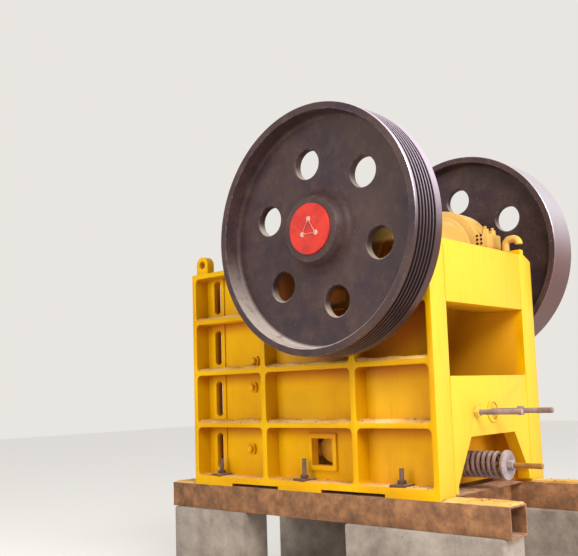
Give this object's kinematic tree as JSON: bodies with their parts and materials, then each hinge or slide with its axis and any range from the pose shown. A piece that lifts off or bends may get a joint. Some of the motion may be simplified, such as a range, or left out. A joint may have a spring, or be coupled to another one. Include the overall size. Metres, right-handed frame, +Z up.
{
  "type": "single-toggle jaw crusher on beams and piers",
  "caption": "Fixed single-toggle jaw crusher: ribbed yellow box frame, swing jaw on an eccentric shaft between a grooved and a plain flywheel, tension spring, steel beams and concrete piers.",
  "frame": {"origin": "centre of the floor under the four piers, which is the bottom centre of the whole box", "axes": "+X towards the spring and toggle end, -Y on the side of the grooved wheel, +Z up"},
  "size_m": [3.24, 2.36, 3.7048],
  "materials": {
    "yellow_paint": "glossy machine enamel, dusty",
    "black_cast_iron": "black paint worn to grey iron",
    "red_paint": "glossy enamel",
    "bare_steel": "bare steel, dull and oily",
    "manganese_steel": "cast wear steel, rubbed by stone",
    "rusty_steel": "rolled steel, evenly rusted",
    "concrete": "rough cast concrete"
  },
  "bodies": {
    "frame": {"side_plate_near": "yellow_paint", "side_plate_far": "yellow_paint", "front_wall": "yellow_paint", "rear_crossbeam": "yellow_paint", "rear_wall": "yellow_paint", "toggle_shelf": "yellow_paint", "spring_plate": "yellow_paint", "toggle_seat": "bare_steel", "toggle_plate": "bare_steel", "adjusting_screws": "rusty_steel", "fixed_jaw_plate": "manganese_steel", "cheek_plate_near": "manganese_steel", "cheek_plate_far": "manganese_steel", "bearing_housing_near": "yellow_paint", "bearing_housing_far": "yellow_paint", "bearing_cap_near": "yellow_paint", "bearing_cap_far": "yellow_paint", "bearing_cover_near": "yellow_paint", "bearing_cover_far": "yellow_paint", "lifting_lug_near": "yellow_paint", "lifting_lug_far": "yellow_paint", "rear_hook_near": "yellow_paint", "rear_hook_far": "yellow_paint", "base_beam_near": "rusty_steel", "base_beam_far": "rusty_steel", "cross_beam_front": "rusty_steel", "cross_beam_rear": "rusty_steel", "pier_near_front": "concrete", "pier_near_rear": "concrete", "pier_far_front": "concrete", "pier_far_rear": "concrete"},
    "rotor": {"grooved_wheel": "black_cast_iron", "plain_wheel": "black_cast_iron", "eccentric_shaft": "bare_steel", "shaft_cap_near": "red_paint", "shaft_cap_far": "red_paint"},
    "pitman": {"swing_jaw": "yellow_paint", "moving_jaw_plate": "manganese_steel", "jaw_wedge": "manganese_steel", "barrel_cover_near": "yellow_paint", "barrel_cover_far": "yellow_paint", "tension_rod": "rusty_steel", "spring_washer": "bare_steel", "tension_nut": "bare_steel", "tension_spring": "bare_steel"}
  },
  "joints": [
    {"name": "rotor_spin", "type": "hinge", "parent": "frame", "child": "rotor", "pos_m": [0.4, 0, 2.8], "axis": [0, 1, 0], "continuous": true},
    {"name": "pitman_pivot", "type": "hinge", "parent": "rotor", "child": "pitman", "pos_m": [0.4, 0, 2.785], "axis": [0, 1, 0], "continuous": true}
  ],
  "couplings": [
    {"joint": "pitman_pivot", "follows": "rotor_spin", "ratio": -1}
  ]
}
